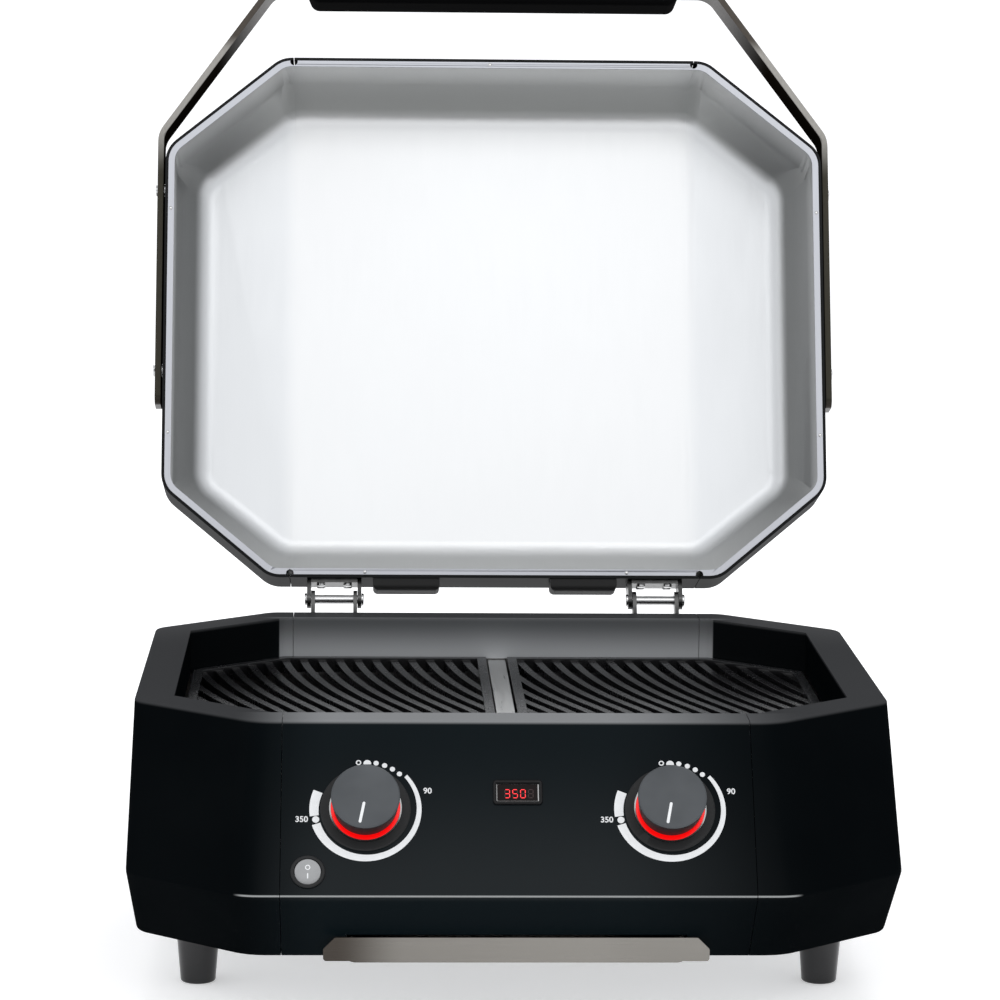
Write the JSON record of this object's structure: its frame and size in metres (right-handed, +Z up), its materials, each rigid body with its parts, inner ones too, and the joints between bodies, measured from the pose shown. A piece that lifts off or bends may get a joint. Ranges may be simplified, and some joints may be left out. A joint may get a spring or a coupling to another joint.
{
  "type": "electric table grill",
  "caption": "Black eight-sided electric table grill with two cast grates, lit dials, a pull-out drip tray and a hinged lid shown open.",
  "frame": {"origin": "on the table, at the middle of the outline of the whole object with its lid open", "axes": "+X to the right of someone facing the dials, +Y to the back, +Z up"},
  "size_m": [0.6242, 0.8374, 0.7989],
  "materials": {
    "body_paint": "satin powder coat, almost black",
    "lid_paint": "satin powder coat, almost black",
    "liner_steel": "brushed stainless sheet",
    "tub_steel": "stainless sheet, darker and lightly heat tinted",
    "tray_steel": "brushed stainless sheet",
    "zinc_sheet": "plain zinc-plated sheet",
    "grate_iron": "seasoned black enamel on cast iron",
    "heater_tube": "oxidised heater tube",
    "hinge_steel": "plain ground steel",
    "strap_steel": "satin black strip with worn lighter edges",
    "grip_plastic": "heat-proof moulded plastic",
    "foot_plastic": "glossy black moulding",
    "knob_plastic": "satin dark grey moulding",
    "bezel_plastic": "black disc with white print",
    "ring_red": "red light guide",
    "trim_bright": "bright plated ring",
    "display_window": "dark tinted window",
    "switch_plastic": "black nylon",
    "rocker_plastic": "light grey moulding",
    "bumper_rubber": "black rubber",
    "inner_plastic": "black moulded plastic",
    "board_green": "solder-masked board",
    "screw_steel": "plated steel"
  },
  "bodies": {
    "body": {"front_panel": "body_paint", "rear_panel": "body_paint", "end_panel_left": "body_paint", "end_panel_right": "body_paint", "base_plate": "zinc_sheet", "foot_front_left": "foot_plastic", "foot_front_right": "foot_plastic", "foot_rear_left": "foot_plastic", "foot_rear_right": "foot_plastic", "foot_screws": "screw_steel", "cooking_tub": "tub_steel", "grate_rails": "zinc_sheet", "zone_divider": "liner_steel", "heating_element_left": "heater_tube", "heating_element_right": "heater_tube", "element_supports": "zinc_sheet", "heat_shield": "zinc_sheet", "control_board": "board_green", "temperature_probes": "liner_steel", "regulator_left": "inner_plastic", "regulator_right": "inner_plastic", "bush_nuts": "screw_steel", "dial_bezel_left": "bezel_plastic", "dial_bezel_right": "bezel_plastic", "light_ring_left": "ring_red", "light_ring_right": "ring_red", "trim_rings": "trim_bright", "display_bezel": "bezel_plastic", "display_lens": "display_window", "display_module": "inner_plastic", "switch_housing": "switch_plastic", "power_inlet": "inner_plastic", "terminal_block": "inner_plastic", "tray_runners": "zinc_sheet", "hinge_body_leaf_left": "hinge_steel", "hinge_body_leaf_right": "hinge_steel", "hinge_pin_left": "hinge_steel", "hinge_pin_right": "hinge_steel", "hinge_screws_body": "screw_steel"},
    "lid": {"lid_centre_panel": "lid_paint", "lid_end_left": "lid_paint", "lid_end_right": "lid_paint", "lid_liner_centre": "liner_steel", "lid_liner_left": "liner_steel", "lid_liner_right": "liner_steel", "hinge_lid_leaf_left": "hinge_steel", "hinge_lid_leaf_right": "hinge_steel", "hinge_screws_lid": "screw_steel", "bumpers": "bumper_rubber", "handle_strap": "strap_steel", "handle_grip": "grip_plastic", "handle_screws": "screw_steel"},
    "knob_left": {"knob_left": "knob_plastic", "control_shaft_left": "screw_steel"},
    "knob_right": {"knob_right": "knob_plastic", "control_shaft_right": "screw_steel"},
    "rocker": {"switch_rocker": "rocker_plastic"},
    "drip_tray": {"drip_tray": "tray_steel"},
    "grate_left": {"grate_left": "grate_iron"},
    "grate_right": {"grate_right": "grate_iron"}
  },
  "joints": [
    {"name": "lid_hinge", "type": "hinge", "parent": "body", "child": "lid", "pos_m": [0, 0.17139, 0.2392], "axis": [1, 0, 0], "range_deg": [0, 108.5]},
    {"name": "knob_left_turn", "type": "hinge", "parent": "body", "child": "knob_left", "pos_m": [-0.1165, -0.37749, 0.17079], "axis": [0, -0.8081, 0.589], "range_deg": [-99, 200]},
    {"name": "knob_right_turn", "type": "hinge", "parent": "body", "child": "knob_right", "pos_m": [0.1165, -0.37749, 0.17079], "axis": [0, -0.8081, 0.589], "range_deg": [-99, 200]},
    {"name": "rocker_press", "type": "hinge", "parent": "body", "child": "rocker", "pos_m": [-0.16, -0.40719, 0.12834], "axis": [1, 0, 0], "range_deg": [-16, 0]},
    {"name": "drip_tray_slide", "type": "slide", "parent": "body", "child": "drip_tray", "axis": [0, -1, 0], "range_m": [0, 0.25]},
    {"name": "grate_left_lift", "type": "slide", "parent": "body", "child": "grate_left", "axis": [0, 0, 1], "range_m": [0, 0.06]},
    {"name": "grate_right_lift", "type": "slide", "parent": "body", "child": "grate_right", "axis": [0, 0, 1], "range_m": [0, 0.06]}
  ]
}
